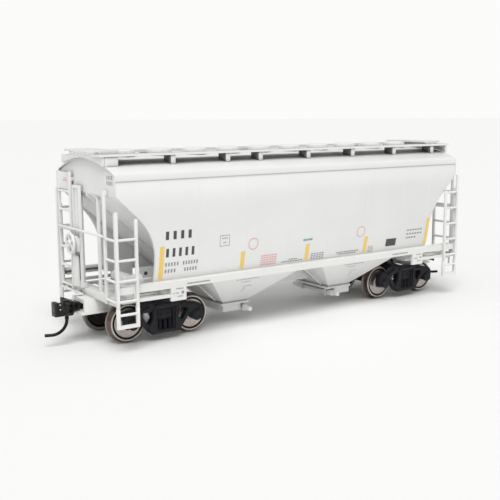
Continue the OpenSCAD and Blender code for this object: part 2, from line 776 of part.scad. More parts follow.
// Shank with its pivot eye, the head with its horn, and the ears that hold the knuckle
module coupler() {
  difference() {
    union() {
      bar_z_at(pivot_x, 4.4, shank_low, shank_high);
      block([pivot_x, -1.3, shank_low], [pivot_x + 7, 1.3, shank_high]);
      intersection() {
        // Neck and head seen from above
        translate([0, 0, head_low]) linear_extrude(head_high - head_low) polygon([
          [knuckle_x - 3.8, -1.3], [knuckle_x - 2.6, -3.2], [knuckle_x - 1.7, -3.9], [knuckle_x - 0.9, -3.9],
          [knuckle_x - 1.2, -2.6], [knuckle_x - 1.3, -0.8], [knuckle_x - 1, 0.4],
          [knuckle_x - 0.7, 1.3], [knuckle_x - 1.4, 1.9], [knuckle_x - 1.4, 3.7], [knuckle_x - 3.8, 1.3]
        ]);
        // The same seen from the side, tapering to the shank
        along_y(-6, 6, [
          [knuckle_x - 4, shank_low], [knuckle_x - 3.5, shank_low], [knuckle_x - 0.9, head_low],
          [knuckle_x + 4, head_low], [knuckle_x + 4, head_high], [knuckle_x - 1.2, head_high],
          [knuckle_x - 2.9, head_high - 0.6], [knuckle_x - 4, shank_high]
        ]);
      }
      // Ears above and below the knuckle
      for (z = [head_low, head_high - ear_t]) translate([0, 0, z]) linear_extrude(ear_t) polygon([
        [knuckle_x - 1.6, 0.6], [knuckle_x - 0.2, 0.8], [knuckle_x + 0.75, 1.75], [knuckle_x + 0.95, 2.5],
        [knuckle_x + 0.75, 3.25], [knuckle_x - 0.4, 3.9], [knuckle_x - 1.6, 3.6]
      ]);
    }
    bar_z_at(pivot_x, 2.3, shank_low - 1, shank_high + 1);
    translate([knuckle_x, knuckle_y, head_low - 1]) cylinder(h = 6, d = pin_d + 0.16, $fn = 24);
  }
}

module coupler_b() on_rail() color(truck_black) turned_end(-1) coupler();

module coupler_a() on_rail() color(truck_black) turned_end(1) coupler();

knuckle_low = head_low + ear_t + 0.1;
knuckle_high = head_high - ear_t - 0.1;

// Knuckle: an eye on the pin, a thin arm with two slots through it, and a tall face
module knuckle() {
  arm_x = knuckle_x + 1.15;
  back_x = face_x - face_t;
  difference() {
    union() {
      translate([knuckle_x, knuckle_y, knuckle_low])
        cylinder(h = knuckle_high - knuckle_low, d = 2.2, $fn = 32);
      translate([0, 0, knuckle_low]) linear_extrude(knuckle_high - knuckle_low) polygon([
        [knuckle_x + 0.2, 2.4], [arm_x + 0.2, 2.7], [arm_x + 0.2, 3.5], [knuckle_x + 0.2, 3.58]
      ]);
      translate([0, 0, head_low + 0.02]) linear_extrude(head_high - head_low - 0.04) polygon([
        [arm_x, 2.7], [back_x, 2.7], [back_x, 0.8], [back_x + 0.3, 0.5], [face_x - 0.3, 0.5],
        [face_x, 0.9], [face_x, 3.2], [face_x - 0.3, 3.5], [arm_x, 3.5]
      ]);
    }
    translate([knuckle_x, knuckle_y, head_low]) cylinder(h = 5, d = pin_d + 0.02, $fn = 24);
    for (z = [9.8, 11.15]) block([arm_x + 0.12, 0, z], [back_x - 0.02, 5, z + 0.5]);
  }
}

module knuckle_b() on_rail() color(truck_black) turned_end(-1) knuckle();

module knuckle_a() on_rail() color(truck_black) turned_end(1) knuckle();

// Pin through the knuckle, and the wire below it that sweeps out under the knuckle face
module trip_pin() {
  sweep_r = 4.3;
  sweep_top = 7.1;
  translate([knuckle_x, knuckle_y, 0]) {
    translate([0, 0, sweep_top - eps]) cylinder(h = head_high - sweep_top - 0.1, d = pin_d, $fn = 24);
    translate([0, 0, head_high + 0.02]) cylinder(h = 0.35, d = 1.9, $fn = 24);
    translate([0, 0, head_high - 0.2]) cylinder(h = 0.3, d = pin_d, $fn = 24);
    rotate([0, 0, -20]) translate([sweep_r, 0, sweep_top]) {
      rotate([90, 0, 0]) rotate([0, 0, 180])
        rotate_extrude(angle = 90, $fn = 64) translate([sweep_r, 0]) circle(d = 0.9, $fn = 16);
      translate([-eps, 0, -sweep_r]) rotate([0, 90, 0]) cylinder(h = 1.8, d = 0.9, $fn = 16);
    }
  }
}

module trip_pin_b() on_rail() color(steel_grey) turned_end(-1) trip_pin();

module trip_pin_a() on_rail() color(steel_grey) turned_end(1) trip_pin();

// Small coil spring in the throat that holds the knuckle shut
module knuckle_spring() {
  x0 = knuckle_x - 0.75;
  translate([x0, 1, 10.35]) rotate([0, 90, 0]) cylinder(h = face_x - face_t - 0.02 - x0, d = 0.6, $fn = 16);
}

module knuckle_spring_b() on_rail() color(steel_grey) turned_end(-1) knuckle_spring();

module knuckle_spring_a() on_rail() color(steel_grey) turned_end(1) knuckle_spring();

// Leaf spring in the draft box, bent round the back of the coupler eye, with a finger each side
module centring_spring() {
  leaf_t = 0.25;
  finger_y = box_half_w - 0.85 - leaf_t;
  for (y = [-finger_y - leaf_t, finger_y])
    block([box_in + 1.1, y, shank_low], [box_in + 7, y + leaf_t, shank_high]);
  block([box_in + 1.1, -finger_y - eps, shank_low], [box_in + 1.1 + leaf_t, finger_y + eps, shank_high]);
}

module centring_spring_b() on_rail() color(steel_grey) turned_end(-1) centring_spring();

module centring_spring_a() on_rail() color(steel_grey) turned_end(1) centring_spring();

// ---------- Trucks ----------

frame_in = 10.9;
frame_out = 12.9;
bearing_d = 1.7;
truck_top = 10.2;
window_half = 2.5;
rib_t = 0.35;

// Cast sideframe with two side windows and the spring nest in the middle
module sideframe(s, side) translate([s * kingpin_x, 0, 0]) mirror([0, side < 0 ? 1 : 0, 0]) {
  half = wheelbase / 2;
  difference() {
    union() {
      for (e = [-1, 1]) mirror([e < 0 ? 1 : 0, 0, 0]) {
        along_y(frame_in, frame_out, [
          [-eps, 10.4], [5.4, 10.4], [half - 1.4, 8.9], [half + 0.9, 8.8], [half + 1.8, 8.1],
          [half + 2.3, 6.9], [half + 2.2, 4.2], [half + 1.4, 3.9], [half + 1.2, 4.3], [half - 1.4, 4.3],
          [half - 2, 6.4], [4.9, 2.1], [4.2, 1.7], [-eps, 1.7]
        ]);
        // Bearing adapter, its end cap and the raised ribs
        translate([half, frame_out - 0.3, axle_z]) rotate([-90, 0, 0]) cylinder(h = 0.8, d = 3, $fn = 32);
        along_y(frame_out - eps, frame_out + rib_t,
          [[5.2, 9.7], [half - 1.5, 8.4], [half - 1.5, 7.8], [5.2, 9]]);
        along_y(frame_out - eps, frame_out + rib_t,
          [[3.1, 8.6], [3.9, 8.6], [5.3, 3.1], [4.4, 2.3], [3.1, 2.3]]);
      }
      block([-3.2, frame_out - eps, 9.1], [3.2, frame_out + rib_t, 10]);
      block([-4.6, frame_out - eps, 1.7], [4.6, frame_out + rib_t, 2.5]);
    }
    for (e = [-1, 1]) mirror([e < 0 ? 1 : 0, 0, 0])
      along_y(frame_in - 1, frame_out + 1, [[4, 8.2], [6.9, 8], [7.5, 7.3], [5.6, 4.7], [4.9, 4.7], [4, 6]]);
    block([-window_half, frame_in - 1, 2.7], [window_half, frame_out + 1, 8.5]);
    for (e = [-1, 1]) translate([e * half, 0, axle_z]) bearing_pocket();
  }
  // Springs between the spring seat and the bolster
  for (x = [-1.6, 0, 1.6]) for (y = [frame_in + 0.55, frame_out - 0.55])
    bar_z(x, y, 2.7 - eps, bolster_end_low - 0.01, 1);
}

// Conical hole for the point of an axle
module bearing_pocket() {
  straight = 0.45;
  translate([0, frame_in - 0.2, 0]) rotate([-90, 0, 0]) cylinder(h = straight + 0.2, d = bearing_d, $fn = 32);
  translate([0, frame_in + straight - eps, 0]) rotate([-90, 0, 0])
    cylinder(h = 1.45, d1 = bearing_d, d2 = 0.25, $fn = 32);
}

module sideframe_b_near() on_rail() color(truck_black) sideframe(-1, -1);

module sideframe_b_far() on_rail() color(truck_black) sideframe(-1, 1);

module sideframe_a_near() on_rail() color(truck_black) sideframe(1, -1);

module sideframe_a_far() on_rail() color(truck_black) sideframe(1, 1);

bolster_end_low = 5.5;
bolster_end_high = 8.3;

// Truck bolster between the sideframes, with the hole for the king pin
module truck_bolster(s) translate([s * kingpin_x, 0, 0]) {
  difference() {
    union() {
      block([-2.3, -frame_in + 0.02, 7.6], [2.3, frame_in - 0.02, 9.7]);
      block([-2.2, -frame_out + 0.3, bolster_end_low], [2.2, frame_out - 0.3, bolster_end_high]);
      bar_z_at(0, 5.2, 9.6, truck_top);
    }
    bar_z_at(0, 2.2, 4, 11);
    block([-3, -frame_in + 2, 4], [3, frame_in - 2, 7.6]);
  }
}

module truck_bolster_b() on_rail() color(truck_black) truck_bolster(-1);

module truck_bolster_a() on_rail() color(truck_black) truck_bolster(1);

// Screws that hold the trucks to the body bolsters
module king_pins() on_rail() color(steel_grey)
  for (s = [-1, 1]) translate([s * kingpin_x, 0, 0]) {
    bar_z_at(0, 1.58, truck_top, center_high - 0.3);
    bar_z_at(0, 2.06, 7.4, truck_top + 0.09);
    difference() {
      bar_z_at(0, 3.8, 6.5, 7.5);
      block([-2, -0.25, 6], [2, 0.25, 6.9]);
    }
  }

// ---------- Wheelsets ----------

seat_d = 1.5;

// Axle with a thick middle, wheel seats and pointed ends
module axle(x) translate([x, 0, axle_z]) rotate([90, 0, 0]) {
  point = 1.35;
  shaft = axle_len / 2 - point;
  translate([0, 0, -back_to_back / 2 + 0.02]) cylinder(h = back_to_back - 0.04, d = 2, $fn = 32);
  translate([0, 0, -shaft]) cylinder(h = 2 * shaft, d = seat_d, $fn = 32);
  for (m = [0, 1]) mirror([0, 0, m]) translate([0, 0, shaft - eps])
    cylinder(h = point, d1 = seat_d, d2 = 0.12, $fn = 32);
}

// Wheel profile: flange at the back, coned tread, grooved face and hub
module wheel() {
  r = wheel_d / 2;
  rotate_extrude($fn = 64) polygon([
    [seat_d / 2 + 0.01, 0], [1.9, 0], [2.1, 0.5], [4, 0.6], [4.3, 0], [r + 0.35, 0],
    [r + flange_depth, 0.35], [r + flange_depth - 0.1, 0.6], [r + 0.15, 0.95], [r + 0.06, 1.2],
    [r - 0.02, wheel_w - 0.2], [r - 0.2, wheel_w], [4.75, wheel_w], [4.6, wheel_w - 0.6],
    [4.25, wheel_w - 0.6], [4.15, wheel_w - 0.15], [2, wheel_w - 0.35], [1.8, wheel_w],
    [seat_d / 2 + 0.01, wheel_w]
  ]);
}

// The two wheels of one axle
module wheels(x) translate([x, 0, axle_z]) for (m = [0, 1]) mirror([0, m, 0])
  translate([0, back_to_back / 2, 0]) rotate([-90, 0, 0]) wheel();

function axle_x(s, e) = s * (kingpin_x + e * wheelbase / 2);

module axle_b_outer() on_rail() color(truck_black) axle(axle_x(-1, 1));

module axle_b_inner() on_rail() color(truck_black) axle(axle_x(-1, -1));

module axle_a_inner() on_rail() color(truck_black) axle(axle_x(1, -1));

module axle_a_outer() on_rail() color(truck_black) axle(axle_x(1, 1));

module wheels_b_outer() on_rail() color(wheel_metal) wheels(axle_x(-1, 1));

module wheels_b_inner() on_rail() color(wheel_metal) wheels(axle_x(-1, -1));

module wheels_a_inner() on_rail() color(wheel_metal) wheels(axle_x(1, -1));

module wheels_a_outer() on_rail() color(wheel_metal) wheels(axle_x(1, 1));

body_shell();
roof();
loading_hatches();
running_board_near();
running_board_far();
end_platform_b();
end_platform_a();
walk_supports();
side_sill_near();
side_sill_far();
end_frame_b();
end_frame_a();
center_sill();
hopper_bay_b();
hopper_bay_a();
outlet_gate_b();
outlet_gate_a();
gate_shafts();
steel_weight();
end_ladders();
side_ladders();
stirrup_steps();
end_handrails();
brake_wheel();
brake_housing();
brake_stand();
brake_chain_guard();
air_reservoir();
brake_cylinder();
uncoupling_levers();
draft_box_b();
draft_box_a();
draft_box_screws();
king_pins();
coupler_b();
coupler_a();
knuckle_b();
knuckle_a();
trip_pin_b();
trip_pin_a();
knuckle_spring_b();
knuckle_spring_a();
centring_spring_b();
centring_spring_a();
truck_bolster_b();
truck_bolster_a();
sideframe_b_near();
sideframe_b_far();
sideframe_a_near();
sideframe_a_far();
axle_b_outer();
axle_b_inner();
axle_a_inner();
axle_a_outer();
wheels_b_outer();
wheels_b_inner();
wheels_a_inner();
wheels_a_outer();
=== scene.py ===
import math

import bmesh
import bpy
from mathutils import Matrix, Vector


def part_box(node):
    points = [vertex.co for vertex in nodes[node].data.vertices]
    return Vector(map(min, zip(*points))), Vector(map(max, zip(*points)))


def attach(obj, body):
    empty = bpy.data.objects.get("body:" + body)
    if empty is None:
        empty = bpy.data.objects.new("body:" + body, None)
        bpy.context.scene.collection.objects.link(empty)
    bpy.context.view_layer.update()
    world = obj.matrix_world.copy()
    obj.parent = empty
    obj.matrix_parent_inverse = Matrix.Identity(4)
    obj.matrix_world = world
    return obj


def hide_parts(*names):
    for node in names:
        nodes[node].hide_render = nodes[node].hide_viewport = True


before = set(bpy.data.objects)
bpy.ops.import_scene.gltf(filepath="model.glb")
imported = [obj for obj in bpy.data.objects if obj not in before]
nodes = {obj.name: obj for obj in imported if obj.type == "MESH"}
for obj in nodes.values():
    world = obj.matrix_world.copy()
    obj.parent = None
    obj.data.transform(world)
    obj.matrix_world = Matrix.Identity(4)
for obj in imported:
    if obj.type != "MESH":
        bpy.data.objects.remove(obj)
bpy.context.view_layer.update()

MM = 0.001
RAIL = 0.6
ENDS = {"b": -1, "a": 1}
TRUCK_CENTRE = 47.8
TREAD_RADIUS = 5.25
FLANGE_RADIUS = 5.85
WHEELSET_WIDTH = 20
WHEEL_BACK = 7.9
PRISM_TAPER = 0.92
SMOOTH_BELOW = math.radians(35)

# ---------- Camera, light and floor ----------

AIM = Vector((-9.456, 0, 19.745 + RAIL)) * MM
CAMERA_AZIMUTH = math.radians(-35.18)
CAMERA_ELEVATION = math.radians(9.203)
CAMERA_ROLL = math.radians(-0.307)
CAMERA_DISTANCE = 259.78 * MM
SENSOR_WIDTH = 36
LENS = 58.75
KEY = 2.05
FILL = 0.2
SURROUND = 0.54
BACKDROP = 0.97


def direction(azimuth, elevation):
    """Unit vector from the object towards a point seen at that azimuth and elevation."""
    flat = math.cos(elevation)
    return Vector((math.sin(azimuth) * flat, -math.cos(azimuth) * flat, math.sin(elevation)))


def add_camera():
    back = direction(CAMERA_AZIMUTH, CAMERA_ELEVATION)
    right = Vector((0, 0, 1)).cross(back).normalized()
    up = back.cross(right)
    data = bpy.data.cameras.new("camera")
    data.lens = LENS
    data.sensor_width = SENSOR_WIDTH
    data.clip_start = 0.01
    data.clip_end = 50
    camera = bpy.data.objects.new("camera", data)
    bpy.context.scene.collection.objects.link(camera)
    turn = Matrix((right, up, back)).transposed().to_4x4()
    place = Matrix.Translation(AIM + back * CAMERA_DISTANCE)
    camera.matrix_world = place @ turn @ Matrix.Rotation(CAMERA_ROLL, 4, "Z")
    bpy.context.scene.camera = camera


def add_sun(name, azimuth, elevation, spread, strength):
    data = bpy.data.lights.new(name, "SUN")
    data.energy = strength
    data.angle = math.radians(spread)
    sun = bpy.data.objects.new(name, data)
    bpy.context.scene.collection.objects.link(sun)
    back = direction(math.radians(azimuth), math.radians(elevation))
    sun.location = AIM + back
    sun.rotation_euler = back.to_track_quat("Z", "Y").to_euler()


def add_light():
    """Soft key from the upper left of the camera, under an even pale surround."""
    scene = bpy.context.scene
    world = bpy.data.worlds.new("studio")
    scene.world = world
    world.use_nodes = True
    tree = world.node_tree
    background = tree.nodes["Background"]
    background.inputs["Color"].default_value = (1.0, 1.0, 0.992, 1)
    seen = tree.nodes.new("ShaderNodeLightPath")
    level = tree.nodes.new("ShaderNodeMapRange")
    level.inputs["To Min"].default_value = SURROUND
    level.inputs["To Max"].default_value = BACKDROP
    tree.links.new(seen.outputs["Is Camera Ray"], level.inputs["Value"])
    tree.links.new(level.outputs["Result"], background.inputs["Strength"])
    add_sun("key", azimuth=-30, elevation=58, spread=36, strength=KEY)
    add_sun("end_fill", azimuth=-82, elevation=4, spread=60, strength=FILL)
    scene.view_settings.view_transform = "Standard"


def add_floor():
    """Wide pale floor, level with the bottom of the wheel flanges."""
    near, far = -6.0, 40.0
    verts = [(x, y, 0) for y in (near, far) for x in (-30.0, 30.0)]
    mesh = bpy.data.meshes.new("floor")
    mesh.from_pydata(verts, [], [(0, 1, 3, 2)])
    floor = bpy.data.objects.new("floor", mesh)
    bpy.context.scene.collection.objects.link(floor)
    floor.rotation_euler.z = CAMERA_AZIMUTH
    mesh.materials.append(plain_material("floor", (0.88, 0.88, 0.875), 0.8))


# ---------- Materials ----------


class Graph:
    """A material's node tree, with short calls for the nodes used here."""

    def __init__(self, name):
        self.material = bpy.data.materials.new(name)
        self.material.use_nodes = True
        self.tree = self.material.node_tree
        self.shader = self.tree.nodes["Principled BSDF"]
        self.coords = self.tree.nodes.new("ShaderNodeTexCoord")

    def node(self, kind, **values):
        made = self.tree.nodes.new("ShaderNode" + kind)
        for key, value in values.items():
            setattr(made, key, value)
        return made

    def link(self, source, target):
        self.tree.links.new(source, target)

    def noise(self, scale, detail=3.0):
        made = self.node("TexNoise")
        made.inputs["Scale"].default_value = scale
        made.inputs["Detail"].default_value = detail
        made.inputs["Roughness"].default_value = 0.55
        self.link(self.coords.outputs["Object"], made.inputs["Vector"])
        return made.outputs["Fac"]

    def ramp(self, fac, stops):
        made = self.node("ValToRGB")
        elements = made.color_ramp.elements
        while len(elements) < len(stops):
            elements.new(0.5)
        for element, (position, color) in zip(elements, stops):
            element.position = position
            element.color = (*color, 1)
        self.link(fac, made.inputs["Fac"])
        return made.outputs["Color"]

    def remap(self, value, low_in, high_in, low_out, high_out):
        made = self.node("MapRange")
        for key, number in zip(("From Min", "From Max", "To Min", "To Max"),
                               (low_in, high_in, low_out, high_out)):
            made.inputs[key].default_value = number
        self.link(value, made.inputs["Value"])
        return made.outputs["Result"]

    def math(self, operation, first, second=None):
        made = self.node("Math", operation=operation)
        for socket, value in zip(made.inputs, (first, second)):
            if value is None:
                continue
            if isinstance(value, (int, float)):
                socket.default_value = value
            else:
                self.link(value, socket)
        return made.outputs["Value"]

    def mix(self, fac, first, second, blend="MIX"):
        made = self.node("Mix", data_type="RGBA", blend_type=blend)
        for socket, value in zip((made.inputs[0], made.inputs[6], made.inputs[7]), (fac, first, second)):
            if isinstance(value, (int, float)):
                socket.default_value = value
            elif isinstance(value, tuple):
                socket.default_value = (*value, 1)
            else:
                self.link(value, socket)
        return made.outputs[2]

    def bump(self, height, distance, strength):
        made = self.node("Bump")
        made.inputs["Strength"].default_value = strength
        made.inputs["Distance"].default_value = distance
        self.link(height, made.inputs["Height"])
        return made.outputs["Normal"]

    def edges(self, low, high):
        """1 along convex edges, 0 on flat faces."""
        geometry = self.node("NewGeometry")
        return self.remap(geometry.outputs["Pointiness"], low, high, 0, 1)

    def crevice(self, distance):
        """0 in the open, 1 deep in corners."""
        shade = self.node("AmbientOcclusion", samples=6)
        shade.inputs["Distance"].default_value = distance
        return self.remap(shade.outputs["AO"], 1, 0.25, 0, 1)

    def set(self, **values):
        """Sets or links the shader's sockets and gives back the material."""
        for key, value in values.items():
            socket = self.shader.inputs[key.replace("_", " ")]
            if isinstance(value, (int, float)):
                socket.default_value = value
            elif isinstance(value, tuple):
                socket.default_value = (*value, 1)
            else:
                self.link(value, socket)
        return self.material


def plain_material(name, color, roughness):
    graph = Graph(name)
    soft = graph.noise(3.0)
    base = graph.ramp(soft, [(0.3, tuple(c * 0.99 for c in color)), (0.7, color)])
    return graph.set(Base_Color=base, Roughness=roughness)


def body_paint(name, color, dust_and_shade=0.10, roughness=0.42, shade=0.0):
    """Satin sprayed paint on moulded plastic, with faint mottling, orange peel and corners darkened by painted
    shade with a dust tint.

    shade paints deep shade into narrow gaps, such as under the running boards, as a near-black colour.
    """
    graph = Graph(name)
    broad = graph.noise(60, 4)
    fine = graph.noise(2600, 2)
    low = tuple(c * 0.972 for c in color)
    high = tuple(min(1, c * 1.012) for c in color)
    base = graph.ramp(broad, [(0.35, low), (0.68, high)])
    dust_and_shade_color = tuple(c * v for c, v in zip(color, (0.60, 0.585, 0.55)))
    # Painted shade: ambient occlusion darkens the colour in corners and recesses, towards a dust-tinted grey.
    corner_shade = graph.math("MULTIPLY", graph.crevice(1.6 * MM), dust_and_shade * 6)
    base = graph.mix(corner_shade, base, dust_and_shade_color)
    worn = graph.math("MULTIPLY", graph.edges(0.52, 0.60), 0.35)
    base = graph.mix(worn, base, tuple(min(1, c * 1.07) for c in color))
    if shade:
        # Painted shade: a near-black colour deep in narrow gaps, found by a wider occlusion test.
        gap_shade = graph.remap(graph.crevice(5 * MM), 0.42, 0.8, 0, shade)
        base = graph.mix(gap_shade, base, (0.09, 0.09, 0.085))
    rough = graph.remap(graph.noise(240, 3), 0.3, 0.7, roughness - 0.05, roughness + 0.07)
    normal = graph.bump(fine, 0.012 * MM, 0.35)
    return graph.set(Base_Color=base, Roughness=rough, Normal=normal, Specular_IOR_Level=0.42)


def moulded_black(name, color=(0.0052, 0.0055, 0.0065), roughness=0.5):
    """Engineering plastic in black, with a cast grain and dry edges."""
    graph = Graph(name)
    broad = graph.noise(160, 4)
    grain = graph.noise(3200, 3)
    low, high = (tuple(c * v for c in color) for v in (0.8, 1.35))
    base = graph.ramp(broad, [(0.3, low), (0.75, high)])
    worn = graph.math("MULTIPLY", graph.edges(0.51, 0.58), 0.55)
    base = graph.mix(worn, base, tuple(c * 4.5 for c in color))
    rough = graph.remap(graph.noise(500, 3), 0.3, 0.7, roughness - 0.08, roughness + 0.1)
    normal = graph.bump(grain, 0.03 * MM, 0.5)
    return graph.set(Base_Color=base, Roughness=rough, Normal=normal, Specular_IOR_Level=0.22)


def turned_wheel(name):
    """Turned wheel: bright rim, groove darkened with painted shade, satin plate with fine turning marks, a
    painted dark reflection on the tread, and a back that is partly blackened and partly painted shade.

    The colours follow the distance from the axle, worked out from the wheelset's own box.
    """
    graph = Graph(name)
    split = graph.node("SeparateXYZ")
    graph.link(graph.coords.outputs["Generated"], split.inputs["Vector"])
    across, sideways, upward = (
        graph.math("MULTIPLY", graph.math("SUBTRACT", split.outputs[axis], 0.5), width)
        for axis, width in (("X", 2 * FLANGE_RADIUS), ("Y", WHEELSET_WIDTH), ("Z", 2 * FLANGE_RADIUS)))
    squares = graph.math("ADD", graph.math("POWER", across, 2), graph.math("POWER", upward, 2))
    radius = graph.math("DIVIDE", graph.math("SQRT", squares), TREAD_RADIUS)
    plate = (0.50, 0.44, 0.41)
    rim = (0.62, 0.57, 0.53)
    dark = (0.035, 0.032, 0.03)
    # Painted shade darkens the groove between 0.80 and 0.872 of the tread radius; from 0.995 outwards the tread
    # and flange carry a painted dark reflection.
    color = graph.ramp(radius, [
        (0.0, (0.10, 0.095, 0.09)), (0.16, (0.12, 0.11, 0.10)), (0.20, plate), (0.775, plate),
        (0.80, dark), (0.872, dark), (0.895, rim), (0.975, rim), (0.995, (0.15, 0.108, 0.09)),
    ])
    mottled = graph.remap(graph.noise(900, 4), 0.3, 0.75, 0.82, 1.06)
    color = graph.mix(1.0, color, as_grey(graph, mottled), "MULTIPLY")
    rings = graph.node("TexNoise", noise_dimensions="1D")
    rings.inputs["Scale"].default_value = 90
    rings.inputs["Detail"].default_value = 2
    graph.link(radius, rings.inputs["W"])
    rough = graph.remap(rings.outputs["Fac"], 0.3, 0.7, 0.24, 0.42)
    normal = graph.bump(rings.outputs["Fac"], 0.02 * MM, 0.45)
    # Painted shade: the back of each wheel turns near-black, partly a blackened finish and partly the shade under
    # the car; its outer rim is brought halfway back to the rim colour.
    back = graph.math("LESS_THAN", graph.math("ABSOLUTE", sideways), WHEEL_BACK)
    outer = graph.math("GREATER_THAN", radius, 0.9)
    color = graph.mix(graph.math("MULTIPLY", back, 0.93), color, (0.02, 0.019, 0.018))
    color = graph.mix(graph.math("MULTIPLY", graph.math("MULTIPLY", back, outer), 0.5), color, rim)
    return graph.set(Base_Color=color, Metallic=0.92, Roughness=rough, Normal=normal)


def as_grey(graph, value):
    joined = graph.node("CombineColor")
    for socket in joined.inputs[:3]:
        graph.link(value, socket)
    return joined.outputs["Color"]


def metal(name, color, roughness):
    """Bare or blackened metal with a fine grain."""
    graph = Graph(name)
    base = graph.ramp(graph.noise(700, 4), [(0.3, tuple(c * 0.75 for c in color)), (0.72, color)])
    rough = graph.remap(graph.noise(1800, 3), 0.3, 0.7, roughness - 0.08, roughness + 0.1)
    normal = graph.bump(graph.noise(3600, 2), 0.01 * MM, 0.4)
    return graph.set(Base_Color=base, Metallic=1.0, Roughness=rough, Normal=normal)


def print_ink(name, color, roughness=0.5):
    """Pad-printed ink: a thin even film, slightly broken where it meets the paint's texture."""
    graph = Graph(name)
    spots = graph.noise(5200, 3)
    base = graph.ramp(spots, [(0.3, tuple(min(1, c * 1.25 + 0.02) for c in color)), (0.55, color)])
    rough = graph.remap(graph.noise(900, 2), 0.3, 0.7, roughness - 0.06, roughness + 0.06)
    normal = graph.bump(graph.noise(2600, 2), 0.008 * MM, 0.3)
    return graph.set(Base_Color=base, Roughness=rough, Normal=normal)


# ---------- Pieces in mesh code ----------


def piece(name, mesh, material, body, smooth=True):
    """Object from a mesh, riding on its body, with its material and slot."""
    made = bpy.data.objects.new(name, mesh)
    bpy.context.scene.collection.objects.link(made)
    mesh.materials.append(material)
    if smooth:
        mesh.polygons.foreach_set("use_smooth", [True] * len(mesh.polygons))
        mesh.set_sharp_from_angle(angle=SMOOTH_BELOW)
    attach(made, body)
    return made


def mesh_from(name, bm):
    bmesh.ops.recalc_face_normals(bm, faces=bm.faces)
    mesh = bpy.data.meshes.new(name)
    bm.to_mesh(mesh)
    bm.free()
    return mesh


def add_block(bm, low, high):
    """Box in millimetres above the rail, added to bm."""
    made = bmesh.ops.create_cube(bm, size=1)["verts"]
    for v in made:
        v.co = Vector([(low[i] + high[i]) / 2 + v.co[i] * (high[i] - low[i]) for i in range(3)]) * MM
        v.co.z += RAIL * MM


def add_prism(bm, place, sides, radius, height, matrix):
    """Slightly tapered prism on a base centre in millimetres above the rail; matrix turns its +Z axis."""
    made = bmesh.ops.create_cone(
        bm, cap_ends=True, segments=sides, radius1=radius * MM, radius2=radius * MM * PRISM_TAPER,
        depth=height * MM)["verts"]
    base = Vector(place) * MM + Vector((0, 0, RAIL * MM))
    for v in made:
        v.co = base + matrix @ (v.co + Vector((0, 0, height * MM / 2)))


TOWARDS = {
    "+x": Matrix.Rotation(math.pi / 2, 3, "Y"),
    "-x": Matrix.Rotation(-math.pi / 2, 3, "Y"),
    "+y": Matrix.Rotation(-math.pi / 2, 3, "X"),
    "-y": Matrix.Rotation(math.pi / 2, 3, "X"),
    "+z": Matrix.Identity(3),
}


def outward(side):
    """Turn for a prism that points away from the car's middle plane."""
    return TOWARDS["-y" if side < 0 else "+y"]



# ---------- Body sides: seams, stripes and printed marks ----------

SIDE_RADIUS = 83.0
SIDE_MIDDLE = 37.4
SIDE_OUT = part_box("body_shell")[1].y / MM
SILL_BACK = 18.67
SILL_FACE = 18.9
SILL_LOW = 15.4
SILL_TOP = 17.35
SILL_END = 64.63
PAD = (44.4, 49.2)
BAR = (12.9, 13.8)


def side_at(z):
    """Half width in millimetres of the bowed side at a height above the rail."""
    return SIDE_OUT - SIDE_RADIUS + math.sqrt(SIDE_RADIUS ** 2 - (z - SIDE_MIDDLE) ** 2)


def side_point(x, z, proud, half):
    """Point on the near side, or on the far side turned half round, proud of the sheet."""
    return Vector((x * half, -(side_at(z) + proud) * half, z + RAIL)) * MM


def add_patch(bm, x0, x1, z0, z1, half):
    """Thin film that follows the bowed side between two x and two z."""
    steps = max(1, int(abs(z1 - z0) / 1.5))
    rows = []
    for i in range(steps + 1):
        z = z0 + (z1 - z0) * i / steps
        rows.append([bm.verts.new(side_point(x, z, FILM, half)) for x in (x0, x1)])
    for lower, upper in zip(rows, rows[1:]):
        bm.faces.new((lower[0], lower[1], upper[1], upper[0]))


FILM = 0.035
STRIPES = ((-51.2, 17.7, 27.0), (-24.2, 17.8, 23.0), (0, 17.8, 23.0), (24.3, 18.0, 23.2), (52.5, 18.0, 27.1))
STRIPE_WIDTH = 1.35


def add_stripes():
    bm = bmesh.new()
    for half in (1, -1):
        for x, z0, z1 in STRIPES:
            add_patch(bm, x - STRIPE_WIDTH / 2, x + STRIPE_WIDTH / 2, z0, z1, half)
    piece("reflective_stripes", mesh_from("reflective_stripes", bm), stripe_ink, "car")


def spread(start, end, count, fill):
    """Two ends of each of count bars, which fill that share of the length from start to end."""
    pitch = (end - start) / count
    for i in range(count):
        low = start + i * pitch + pitch * (1 - fill) / 2
        yield low, low + pitch * fill


def bar_row(bm, x0, x1, z0, z1, count, fill, half):
    """A row of plain upright bars between two x."""
    for low, high in spread(x0, x1, count, fill):
        add_patch(bm, low, high, z0, z1, half)


